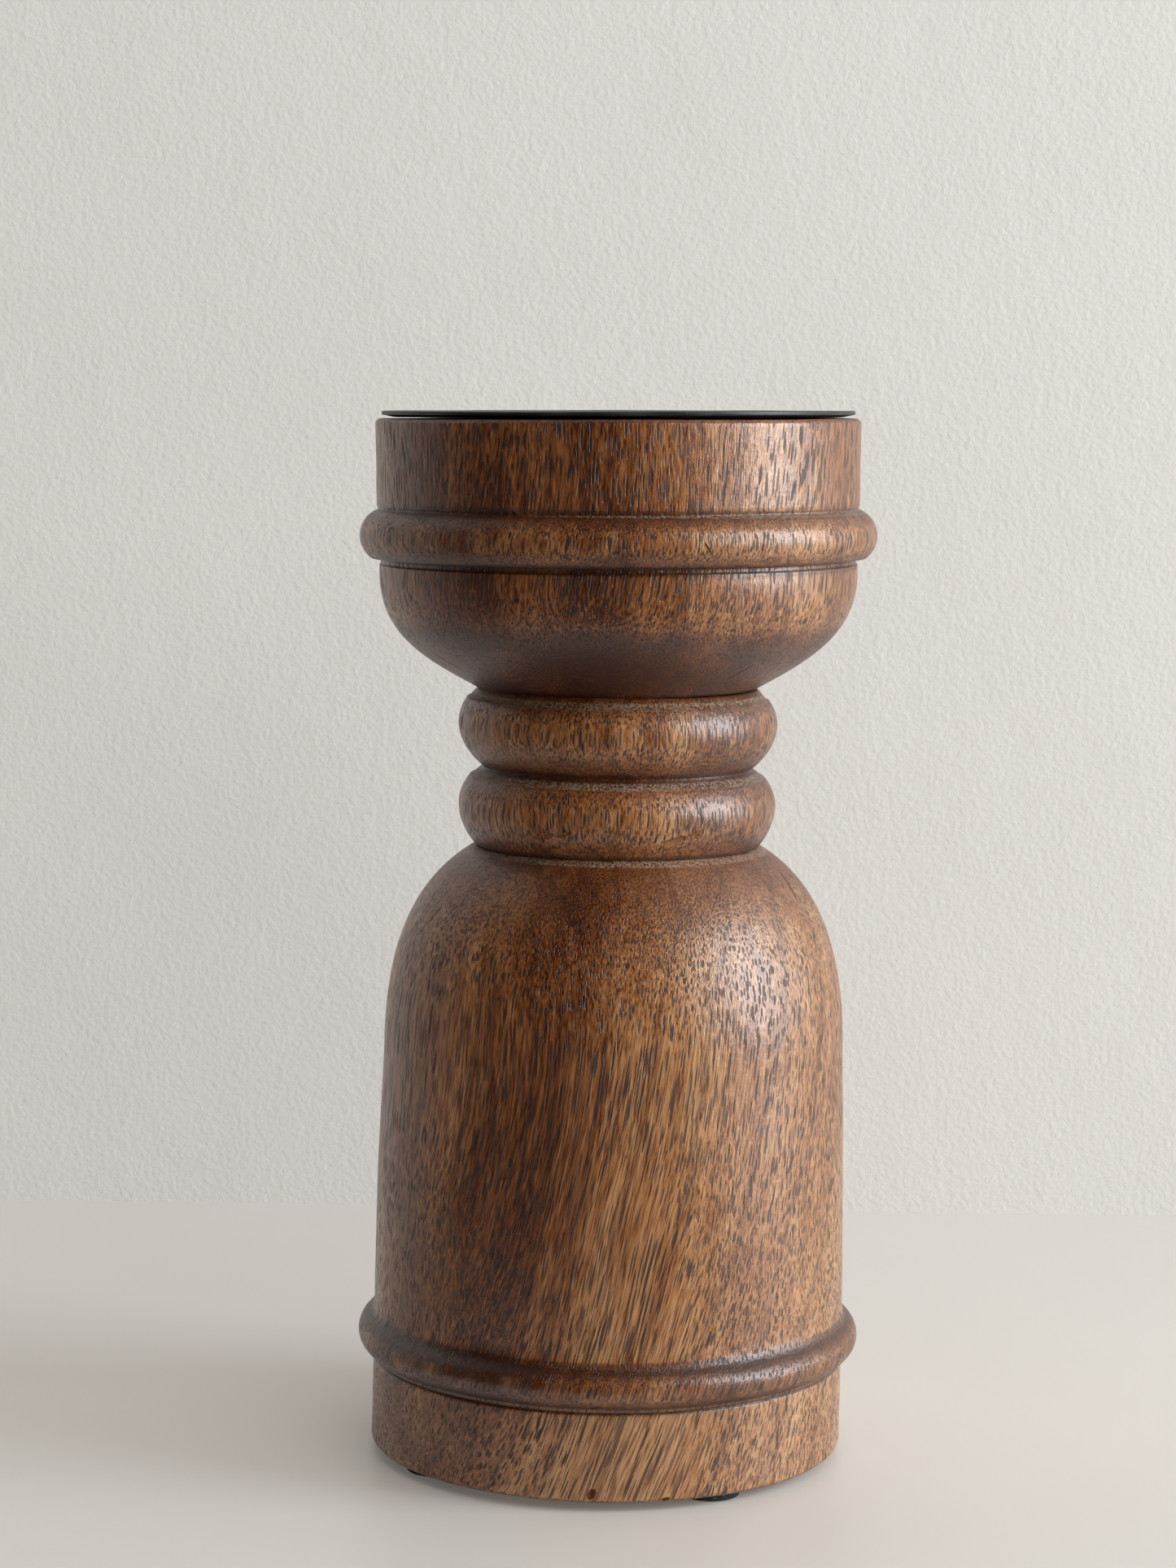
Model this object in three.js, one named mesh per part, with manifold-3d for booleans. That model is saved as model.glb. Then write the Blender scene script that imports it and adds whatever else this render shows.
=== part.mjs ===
// Turned wooden candlestick for a pillar candle, in millimetres, +Z up.
//
// Three turned wooden sections, a base, a two-ring neck and a cup, are glued one on another over a
// hidden centre dowel. A thin steel candle plate is screwed to the top, and four pads keep the
// base off the table. The origin is on the turning axis, in the plane that the pads stand on.

import * as THREE from 'three';
import { mergeVertices } from 'three/addons/utils/BufferGeometryUtils.js';
import Module from 'manifold-3d';

const wasm = await Module();
wasm.setup();

// ---- Driving dimensions -------------------------------------------------------------------

const CLEARANCE = 0.3; // between neighbouring solids
const WELD_DISTANCE = 1e-4; // points closer than this are one point

const WOOD_TOP_Z = 220.0;
const PAD = { height: 1.8, radius: 6.25, edge: 0.4, circle: 41.5, count: 4, firstAngle: -58.5 };

// Heights of the two V-grooves where the sections meet, and the wood's radius in each groove.
const NECK_JOINT = { z: 130.3, radius: 29.9 };
const CUP_JOINT = { z: 163.6, radius: 29.4 };

const PLINTH = { radius: 50.35, top: 21.9, chamfer: 0.9 };
const BASE_BEAD = { top: 29.0, crownZ: 25.6, crownRadius: 53.5, arcRadius: 4.0 };
const BODY = {
  lowRadius: 50.1, lowZ: 30.4, highRadius: 48.85, highZ: 86,
  bellyRadius: 50.0, bellyZ: 52, waistRadius: 49.6, waistZ: 70,
};
const SHOULDER = { fullness: 23, leanRadius: 42.8, leanZ: 123.0 };

// Each ring of the neck swells to its crown, falls to a narrow shelf and ends in a groove.
const LOWER_RING = { crownZ: 139.0, crownRadius: 33.5, shelfZ: 144.9, shelfRadius: 31.2 };
const UPPER_RING = { crownZ: 156.0, crownRadius: 33.75, shelfZ: 161.3, shelfRadius: 31.9 };
const RING_GROOVE = { z: 146.9, radius: 28.5 };
const SHELF = { width: 0.7, rise: 0.3 };

const BOWL = { leanRadius: 41.0, leanZ: 170.0, fullness: 12.8, topZ: 188.0, topRadius: 50.2 };
const CUP_BEAD = { low: 191.1, top: 201.2, crownZ: 195.7, crownRadius: 54.3, arcRadius: 5.8 };
const RIM = { lowRadius: 50.65, highRadius: 50.85, bevel: 0.8 };

const DOWEL = { radius: 10, depthInBase: 25, depthInCup: 22, chamfer: 1.5 };
const PLATE = { radius: 49.5, sheet: 0.8, rimWidth: 3.0, rimLift: 0.5 };
const SCREW = {
  headRadius: 4.0, headHeight: 2.6, shankRadius: 1.5, threadRadius: 2.05, threadPitch: 1.8,
  length: 25, point: 5, slotWidth: 1.0, slotLength: 4.4, slotDepth: 1.4,
};

const ROUND_SEGMENTS = 48; // facets round a turned section
const ARC_SEGMENTS = 3; // half the facets along a bead or ring
const SMALL_SEGMENTS = 20; // facets round the small pieces
const THREAD_STEPS = 90; // facets along the screw's thread
const THREAD_SIDES = 3; // half the facets round its ridge

// ---- Materials ----------------------------------------------------------------------------

const stainedWood = new THREE.MeshStandardMaterial({ color: 0x6b3d20, roughness: 0.42, metalness: 0 });
const paleWood = new THREE.MeshStandardMaterial({ color: 0xc49a62, roughness: 0.8, metalness: 0 });
const blackSteel = new THREE.MeshStandardMaterial({ color: 0x1b1a1a, roughness: 0.45, metalness: 0.6 });
const zincSteel = new THREE.MeshStandardMaterial({ color: 0xb8b5a8, roughness: 0.35, metalness: 1 });
const padFoam = new THREE.MeshStandardMaterial({ color: 0x232323, roughness: 0.95, metalness: 0 });

// ---- Helpers ------------------------------------------------------------------------------

// Turns a profile of (radius, height) points about the Z axis. The profile runs up the outside,
// and starts and ends on the axis or closes on itself.
function turn(points, segments = ROUND_SEGMENTS) {
  return new THREE.LatheGeometry(points, segments).rotateX(Math.PI / 2);
}

// Adds a bead to a profile: an arc centred inside the wood, between two heights.
function addBead(path, { crownZ, crownRadius, arcRadius }, low, high) {
  const start = Math.asin((low - crownZ) / arcRadius);
  const end = Math.asin((high - crownZ) / arcRadius);
  path.absarc(crownRadius - arcRadius, crownZ, arcRadius, start, end, false);
}

// Adds the rising half of a ring, from the profile's last point to the ring's crown.
function addSwell(path, { crownZ, crownRadius }) {
  const { x, y } = path.currentPoint;
  path.bezierCurveTo(
    x + 0.5 * (crownRadius - x), y + 0.22 * (crownZ - y),
    crownRadius, crownZ - 0.42 * (crownZ - y),
    crownRadius, crownZ,
  );
}

// Adds the falling half of a ring, from its crown to its shelf, and a line into the groove above.
function addFall(path, { crownZ, crownRadius, shelfZ, shelfRadius }, grooveRadius, grooveZ) {
  path.bezierCurveTo(
    crownRadius, crownZ + 0.42 * (shelfZ - crownZ),
    shelfRadius + 0.5 * (crownRadius - shelfRadius), shelfZ - 0.25 * (shelfZ - crownZ),
    shelfRadius, shelfZ,
  );
  path.lineTo(shelfRadius - SHELF.width, shelfZ + SHELF.rise);
  path.lineTo(grooveRadius, grooveZ);
}

function toSolid(geometry) {
  const bare = geometry.clone();
  bare.deleteAttribute('normal');
  bare.deleteAttribute('uv');
  const merged = mergeVertices(bare, WELD_DISTANCE);
  return new wasm.Manifold(new wasm.Mesh({
    numProp: 3,
    vertProperties: new Float32Array(merged.attributes.position.array),
    triVerts: new Uint32Array(merged.index.array),
  }));
}

function toGeometry(solid) {
  const mesh = solid.getMesh();
  const geometry = new THREE.BufferGeometry();
  geometry.setAttribute('position', new THREE.BufferAttribute(mesh.vertProperties, 3));
  geometry.setIndex(new THREE.BufferAttribute(mesh.triVerts, 1));
  geometry.computeVertexNormals();
  return geometry;
}

function named(name, geometry, material) {
  const mesh = new THREE.Mesh(geometry, material);
  mesh.name = name;
  return mesh;
}

// ---- Wooden sections ----------------------------------------------------------------------

const boreRadius = DOWEL.radius + CLEARANCE;
const jointGap = CLEARANCE / 2; // each side of a glued joint
const woodBottomZ = PAD.height + CLEARANCE;

// Plinth, bead, long body and rounded shoulder, with a blind bore for the dowel from above.
function baseSection() {
  const topZ = NECK_JOINT.z - jointGap;
  const path = new THREE.Path();
  path.moveTo(0, woodBottomZ);
  path.lineTo(PLINTH.radius - PLINTH.chamfer, woodBottomZ);
  path.lineTo(PLINTH.radius, woodBottomZ + PLINTH.chamfer);
  path.lineTo(PLINTH.radius, PLINTH.top);
  addBead(path, BASE_BEAD, PLINTH.top, BASE_BEAD.top);
  path.lineTo(BODY.lowRadius, BODY.lowZ);
  path.bezierCurveTo(
    BODY.bellyRadius, BODY.bellyZ,
    BODY.waistRadius, BODY.waistZ,
    BODY.highRadius, BODY.highZ,
  );
  path.bezierCurveTo(
    BODY.highRadius, BODY.highZ + SHOULDER.fullness,
    SHOULDER.leanRadius, SHOULDER.leanZ,
    NECK_JOINT.radius, topZ,
  );
  path.lineTo(boreRadius, topZ);
  path.lineTo(boreRadius, NECK_JOINT.z - DOWEL.depthInBase);
  path.lineTo(0, NECK_JOINT.z - DOWEL.depthInBase);
  return turn(path.getPoints(ARC_SEGMENTS * 2));
}

// Two rounded rings with a groove between them, bored right through for the dowel.
function neckSection() {
  const lowZ = NECK_JOINT.z + jointGap;
  const highZ = CUP_JOINT.z - jointGap;
  const path = new THREE.Path();
  path.moveTo(boreRadius, highZ);
  path.lineTo(boreRadius, lowZ);
  path.lineTo(NECK_JOINT.radius, lowZ);
  addSwell(path, LOWER_RING);
  addFall(path, LOWER_RING, RING_GROOVE.radius, RING_GROOVE.z);
  addSwell(path, UPPER_RING);
  addFall(path, UPPER_RING, CUP_JOINT.radius, highZ);
  path.lineTo(boreRadius, highZ);
  return turn(path.getPoints(ARC_SEGMENTS));
}

// Bowl, bead and upright rim. The dowel's bore comes in from below, and the screw's from above.
function cupSection() {
  const lowZ = CUP_JOINT.z + jointGap;
  const screwHole = SCREW.threadRadius + CLEARANCE;
  const headHole = SCREW.headRadius + CLEARANCE;
  const path = new THREE.Path();
  path.moveTo(0, CUP_JOINT.z + DOWEL.depthInCup);
  path.lineTo(boreRadius, CUP_JOINT.z + DOWEL.depthInCup);
  path.lineTo(boreRadius, lowZ);
  path.lineTo(CUP_JOINT.radius, lowZ);
  path.bezierCurveTo(
    BOWL.leanRadius, BOWL.leanZ,
    BOWL.topRadius, BOWL.topZ - BOWL.fullness,
    BOWL.topRadius, BOWL.topZ,
  );
  path.lineTo(BOWL.topRadius, CUP_BEAD.low);
  addBead(path, CUP_BEAD, CUP_BEAD.low, CUP_BEAD.top);
  path.lineTo(RIM.lowRadius, CUP_BEAD.top);
  path.lineTo(RIM.highRadius, WOOD_TOP_Z - RIM.bevel);
  path.lineTo(RIM.highRadius - RIM.bevel, WOOD_TOP_Z);
  path.lineTo(headHole, WOOD_TOP_Z);
  path.lineTo(screwHole, WOOD_TOP_Z - SCREW.headHeight);
  path.lineTo(screwHole, screwTopZ - SCREW.length - CLEARANCE);
  path.lineTo(0, screwTopZ - SCREW.length - CLEARANCE);
  return turn(path.getPoints(ARC_SEGMENTS * 2));
}

// Straight round peg with chamfered ends, in the bores of all three sections.
function centreDowel() {
  const lowZ = NECK_JOINT.z - DOWEL.depthInBase + CLEARANCE;
  const highZ = CUP_JOINT.z + DOWEL.depthInCup - CLEARANCE;
  const endRadius = DOWEL.radius - DOWEL.chamfer;
  return turn([
    new THREE.Vector2(0, lowZ),
    new THREE.Vector2(endRadius, lowZ),
    new THREE.Vector2(DOWEL.radius, lowZ + DOWEL.chamfer),
    new THREE.Vector2(DOWEL.radius, highZ - DOWEL.chamfer),
    new THREE.Vector2(endRadius, highZ),
    new THREE.Vector2(0, highZ),
  ], SMALL_SEGMENTS);
}

// ---- Metal --------------------------------------------------------------------------------

const plateBottomZ = WOOD_TOP_Z + CLEARANCE;
const plateTopZ = plateBottomZ + PLATE.sheet;
const screwTopZ = plateTopZ;

// Sheet disc with a slightly turned-up rim and a countersunk hole in the middle.
function candlePlate() {
  const rimStart = PLATE.radius - PLATE.rimWidth;
  const countersink = SCREW.headRadius + CLEARANCE;
  const holeRadius = countersink - PLATE.sheet * (SCREW.headRadius - SCREW.shankRadius) / SCREW.headHeight;
  return turn([
    new THREE.Vector2(holeRadius, plateBottomZ),
    new THREE.Vector2(rimStart, plateBottomZ),
    new THREE.Vector2(PLATE.radius, plateBottomZ + PLATE.rimLift),
    new THREE.Vector2(PLATE.radius, plateTopZ + PLATE.rimLift),
    new THREE.Vector2(rimStart, plateTopZ),
    new THREE.Vector2(countersink, plateTopZ),
    new THREE.Vector2(holeRadius, plateBottomZ),
  ]);
}

// Centre line of the screw's thread, from just above the point to just below the head.
class ThreadLine extends THREE.Curve {
  getPoint(t, target = new THREE.Vector3()) {
    const low = screwTopZ - SCREW.length + SCREW.point;
    const high = screwTopZ - SCREW.headHeight - SCREW.threadPitch;
    const angle = (2 * Math.PI * t * (high - low)) / SCREW.threadPitch;
    const x = SCREW.shankRadius * Math.cos(angle);
    const y = SCREW.shankRadius * Math.sin(angle);
    return target.set(x, y, low + t * (high - low));
  }
}

// Countersunk wood screw with a round-crested thread and a cross slot.
function plateScrew() {
  const tipZ = screwTopZ - SCREW.length;
  const body = toSolid(turn([
    new THREE.Vector2(0, tipZ),
    new THREE.Vector2(SCREW.shankRadius, tipZ + SCREW.point),
    new THREE.Vector2(SCREW.shankRadius, screwTopZ - SCREW.headHeight),
    new THREE.Vector2(SCREW.headRadius, screwTopZ),
    new THREE.Vector2(0, screwTopZ),
  ], SMALL_SEGMENTS));
  const ridge = new THREE.Shape().absarc(0, 0, SCREW.threadRadius - SCREW.shankRadius, 0, 2 * Math.PI);
  const thread = toSolid(new THREE.ExtrudeGeometry(ridge, {
    extrudePath: new ThreadLine(), steps: THREAD_STEPS, curveSegments: THREAD_SIDES, bevelEnabled: false,
  }));
  let screw = body.add(thread);
  for (const turned of [0, Math.PI / 2]) {
    const slot = new THREE.BoxGeometry(SCREW.slotLength, SCREW.slotWidth, 2 * SCREW.slotDepth);
    slot.rotateZ(turned).translate(0, 0, screwTopZ);
    screw = screw.subtract(toSolid(slot));
  }
  return toGeometry(screw);
}

// ---- Pads ---------------------------------------------------------------------------------

// Round stick-on pad with slightly eased edges, standing on the table.
function footPad() {
  return turn([
    new THREE.Vector2(0, 0),
    new THREE.Vector2(PAD.radius - PAD.edge, 0),
    new THREE.Vector2(PAD.radius, PAD.edge),
    new THREE.Vector2(PAD.radius, PAD.height - PAD.edge),
    new THREE.Vector2(PAD.radius - PAD.edge, PAD.height),
    new THREE.Vector2(0, PAD.height),
  ], SMALL_SEGMENTS);
}

// ---- Assembly -----------------------------------------------------------------------------

const candlestick = new THREE.Group();
candlestick.add(
  named('base_section', baseSection(), stainedWood),
  named('neck_section', neckSection(), stainedWood),
  named('cup_section', cupSection(), stainedWood),
  named('centre_dowel', centreDowel(), paleWood),
  named('candle_plate', candlePlate(), blackSteel),
  named('plate_screw', plateScrew(), zincSteel),
);
for (let i = 0; i < PAD.count; i += 1) {
  const pad = named(`foot_pad_${i + 1}`, footPad(), padFoam);
  const angle = THREE.MathUtils.degToRad(PAD.firstAngle + (i * 360) / PAD.count);
  pad.position.set(PAD.circle * Math.cos(angle), PAD.circle * Math.sin(angle), 0);
  candlestick.add(pad);
}

export default candlestick;
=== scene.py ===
"""Turned wooden candlestick with a black candle plate, on a pale table in front of a pale wall.

The three turned sections, the candle plate and the pads are modelled around the fixed frame, in
metres. The frame's own screw and dowel are kept and given a finish. Each operator below makes one
piece or one group of pieces.
"""

import math

import bpy
from bpy.props import FloatProperty, FloatVectorProperty, PointerProperty
from mathutils import Matrix, Vector


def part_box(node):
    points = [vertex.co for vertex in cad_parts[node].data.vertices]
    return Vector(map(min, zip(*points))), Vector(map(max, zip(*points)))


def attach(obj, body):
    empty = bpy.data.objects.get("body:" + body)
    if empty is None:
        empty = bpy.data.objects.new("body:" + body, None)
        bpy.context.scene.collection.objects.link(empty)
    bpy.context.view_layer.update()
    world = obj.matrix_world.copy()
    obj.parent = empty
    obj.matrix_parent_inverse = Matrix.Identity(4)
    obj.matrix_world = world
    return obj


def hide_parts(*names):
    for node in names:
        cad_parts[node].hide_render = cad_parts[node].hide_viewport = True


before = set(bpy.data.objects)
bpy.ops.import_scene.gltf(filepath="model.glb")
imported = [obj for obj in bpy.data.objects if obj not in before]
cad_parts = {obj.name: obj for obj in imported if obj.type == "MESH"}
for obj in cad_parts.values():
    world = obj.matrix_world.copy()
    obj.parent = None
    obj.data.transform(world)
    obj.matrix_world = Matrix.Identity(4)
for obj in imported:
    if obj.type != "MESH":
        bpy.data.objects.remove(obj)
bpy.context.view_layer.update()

bl_info = {
    "name": "Turned Candlestick",
    "version": (1, 0, 0),
    "blender": (4, 5, 0),
    "location": "3D View > Sidebar > Candlestick",
    "description": "Models a turned wooden candlestick with a metal candle plate",
    "category": "Add Mesh",
}

MM = 0.001
AROUND = 320  # facets round a turned section
OUTLINE_STEP = 0.8 * MM  # spacing of the outline's points on visible wood

base_low, base_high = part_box("base_section")
neck_low, neck_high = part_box("neck_section")
cup_low, cup_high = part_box("cup_section")
plate_low, plate_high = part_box("candle_plate")
screw_low, screw_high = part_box("plate_screw")
dowel_low, dowel_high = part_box("centre_dowel")
pad_low, pad_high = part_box("foot_pad_1")

LOWER_JOINT = (base_high.z + neck_low.z) / 2
UPPER_JOINT = (neck_high.z + cup_low.z) / 2
GLUE_GAP = 0.15 * MM  # room for glue round the dowel
BORE_RADIUS = dowel_high.x + GLUE_GAP
SCREW_RADIUS = screw_high.x

# How far the glued sections are out of line, as hand gluing left them. Leans are in degrees to
# the right, and the plate goes with the cup.
BASE_LEAN = 0.38
NECK_ASIDE = 0.6 * MM
CUP_LEAN = -0.72
CUP_ASIDE = 0.54 * MM

WAVER_REACH = 0.35 * MM  # how far hand turning strays in and out of a true round
CORNER_ANGLE = 32  # degrees; sharper edges are eased
SMOOTH_ANGLE = 40  # degrees; sharper edges stay crisp in the shading

# The layers of pores. Each is (spacing across the grain in mm, spacing along it in pore lengths,
# smallest radius and spread of radii in spacings, offset from the other layers in mm).
PORE_LAYERS = (
    (0.84, 2.3, 0.24, 0.14, 0.0),
    (0.66, 1.5, 0.25, 0.14, 17.0),
    (1.5, 4.0, 0.12, 0.10, 41.0),
)
END_GRAIN_STAIN = (0.50, 0.37, 0.29)  # what is left of the colour where end grain drank the stain

# Checks, dents and tear-outs. Each is (azimuth, height, length, width, depth, slant): sizes in
# millimetres, azimuth in degrees to the right of the front, slant in degrees up from level.
BASE_NICKS = (
    (70, 123.5, 10.0, 0.35, 1.6, 72),
    (-62, 117, 5.0, 0.3, 1.2, 60),
    (-2.5, 22.3, 3.2, 0.9, 0.7, 25),
    (-3.0, 4.0, 2.6, 1.6, 0.9, 62),
    (14, 2.6, 2.4, 1.0, 0.6, 20),
)
NECK_NICKS = (
    (-27, 135.2, 5.5, 1.3, 0.30, 12),
    (-19, 135.8, 3.5, 1.0, 0.28, 18),
    (22, 134.9, 6.5, 1.2, 0.30, 10),
    (29, 135.8, 4.5, 1.4, 0.32, 22),
    (-24, 150.4, 6.0, 0.8, 0.3, 2),
    (36, 150.2, 7.0, 0.8, 0.3, -3),
)
CUP_NICKS = (
    (40, 169.2, 6.5, 0.35, 1.5, 60),
    (-60, 170.5, 8.0, 0.3, 1.4, -55),
    (19, 195.0, 3.2, 0.45, 0.4, -58),
    (-17, 218.6, 2.2, 0.9, 0.5, 80),
)

LIGHT_TARGET = 0.12  # height that the lights are aimed at
WINDOW_COLOUR = (0.88, 0.945, 1.0)
BOUNCE_COLOUR = (1.0, 0.98, 0.95)
ROOM_COLOUR = (1.0, 0.985, 0.96)
REFLECTED_ROOM = 0.2  # brightness of the room in reflections, against the light it gives
REFLECTED_SHADOW = 0.9  # how much painted shade darkens the sheets in reflections, in front of the object

CAMERA_SENSOR = 36.0  # millimetres, as the lens
CAMERA_LENS = 82.2
CAMERA_DISTANCE = 0.754
CAMERA_HEIGHT = 0.2244
CAMERA_PITCH, CAMERA_YAW, CAMERA_ROLL = 6.17, 0.42, 0.75  # degrees


# ---- Settings -----------------------------------------------------------------------------


def length(name, description, default):
    return FloatProperty(name=name, description=description, default=default, min=0.0, unit="LENGTH",
                         precision=5)


def colour(name, description, default):
    return FloatVectorProperty(name=name, description=description, default=default, size=3, min=0.0,
                               max=1.0, subtype="COLOR")


def strength(name, description, default):
    return FloatProperty(name=name, description=description, default=default, min=0.0)


def power(name, description, default):
    return FloatProperty(name=name, description=description, default=default, min=0.0, unit="POWER")


class CandlestickShape(bpy.types.PropertyGroup):
    """Sizes of the turned sections and the plate."""

    plinth_radius: length("Plinth Radius", "Radius of the band at the bottom", 50.35 * MM)
    plinth_top: length("Plinth Top", "Height where the plinth ends and the bead starts", 21.9 * MM)
    base_bead_radius: length("Base Bead Radius", "Largest radius of the base's bead", base_high.x)
    base_bead_height: length("Base Bead Height", "Height of the bead's crown", 25.6 * MM)
    base_bead_top: length("Base Bead Top", "Height where the bead ends", 29.0 * MM)
    body_low_radius: length("Body Low Radius", "Radius of the body above the bead", 50.1 * MM)
    body_high_radius: length("Body High Radius", "Radius of the body below the shoulder", 48.85 * MM)
    shoulder_start: length("Shoulder Start", "Height where the shoulder starts to round over", 86 * MM)
    lower_groove: length("Lower Groove", "Radius in the groove below the neck", 29.9 * MM)
    upper_groove: length("Upper Groove", "Radius in the groove above the neck", 29.4 * MM)
    lower_ring: length("Lower Ring", "Largest radius of the neck's lower ring", 33.5 * MM)
    upper_ring: length("Upper Ring", "Largest radius of the neck's upper ring", neck_high.x)
    ring_groove: length("Ring Groove", "Radius in the groove between the rings", 28.5 * MM)
    ring_groove_height: length("Ring Groove Height", "Height of that groove", 146.9 * MM)
    bowl_radius: length("Bowl Radius", "Radius at the top of the bowl", 50.2 * MM)
    cup_bead_radius: length("Cup Bead Radius", "Largest radius of the cup's bead", cup_high.x)
    cup_bead_low: length("Cup Bead Bottom", "Height where the cup's bead starts", 191.1 * MM)
    cup_bead_height: length("Cup Bead Height", "Height of the bead's crown", 195.7 * MM)
    cup_bead_top: length("Cup Bead Top", "Height where the bead ends", 201.2 * MM)
    rim_radius: length("Rim Radius", "Radius of the cup's upright wall", 50.8 * MM)
    plate_radius: length("Plate Radius", "Radius of the candle plate", plate_high.x)
    plate_sheet: length("Plate Thickness", "Thickness of the plate's sheet", 0.8 * MM)


class CandlestickFinish(bpy.types.PropertyGroup):
    """Colours of the stained wood, the metal and the pads."""

    dark_wood: colour("Dark Wood", "Darkest figure of the stained wood", (0.070, 0.0150, 0.0024))
    brown_wood: colour("Brown Wood", "Main colour of the stained wood", (0.215, 0.068, 0.0155))
    tan_wood: colour("Tan Wood", "Lighter figure of the stained wood", (0.335, 0.140, 0.047))
    gold_wood: colour("Golden Wood", "Palest patches and worn crests", (0.500, 0.270, 0.122))
    pore: colour("Pores", "Stain caught in the open pores", (0.026, 0.0060, 0.0012))
    dust: colour("Wax Dust", "Pale wax and dust on the ledges", (0.470, 0.370, 0.270))
    plate: colour("Plate", "Paint of the candle plate", (0.012, 0.0115, 0.0112))
    pad: colour("Pads", "Foam rubber of the pads", (0.020, 0.020, 0.022))


class CandlestickStage(bpy.types.PropertyGroup):
    """The table, the wall and the light."""

    table: colour("Table", "Satin table top", (0.685, 0.650, 0.605))
    wall: colour("Wall", "Matt painted wall", (0.655, 0.630, 0.600))
    wall_distance: length("Wall Distance", "Distance from the axis to the wall behind", 0.224)
    sheet_size: length("Sheet Size", "Length of each side of the table and the wall", 8.0)
    # The two glows are painted light: the sheets shine with their own colour, standing in for light the room
    # gives back.
    table_glow: strength("Table Glow", "Light that the table gives back from the room", 0.14)
    wall_glow: strength("Wall Glow", "Light that the wall gives back from the room", 0.22)
    window_power: power("Window Power", "Power of the large soft light from the right", 55.0)
    bounce_power: power("Bounce Power", "Power of the soft light from the front", 23.0)
    fill: strength("Fill", "Strength of the light from all round", 0.12)
    backdrop: strength("Backdrop", "Brightness of the room seen past the sheets", 0.62)


# ---- Shader building ----------------------------------------------------------------------


class Value:
    """A number or vector that varies over the surface. Arithmetic on it adds Math nodes."""

    def __init__(self, recipe, socket):
        self.recipe = recipe
        self.socket = socket

    def math(self, operation, *terms):
        node = self.recipe.node("ShaderNodeMath", {"operation": operation}, dict(enumerate(terms)))
        return self.recipe.value(node)

    def __add__(self, other):
        return self.math("ADD", self, other)

    def __radd__(self, other):
        return self.math("ADD", other, self)

    def __sub__(self, other):
        return self.math("SUBTRACT", self, other)

    def __rsub__(self, other):
        return self.math("SUBTRACT", other, self)

    def __mul__(self, other):
        return self.math("MULTIPLY", self, other)

    def __rmul__(self, other):
        return self.math("MULTIPLY", other, self)

    def __truediv__(self, other):
        return self.math("DIVIDE", self, other)

    def __pow__(self, other):
        return self.math("POWER", self, other)

    def __abs__(self):
        return self.math("ABSOLUTE", self)

    def above(self, other):
        return self.math("MAXIMUM", self, other)

    def rise(self, low, high):
        """0 below low and 1 above high, eased in between. With low above high it falls."""
        if low > high:
            return 1 - self.rise(high, low)
        node = self.recipe.node("ShaderNodeMapRange", {"interpolation_type": "SMOOTHSTEP"},
                                {"Value": self, "From Min": low, "From Max": high})
        return self.recipe.value(node)

    def band(self, low, high, soft):
        """1 between two values, easing to 0 outside them."""
        return self.rise(low - soft, low) * self.rise(high + soft, high)


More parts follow.
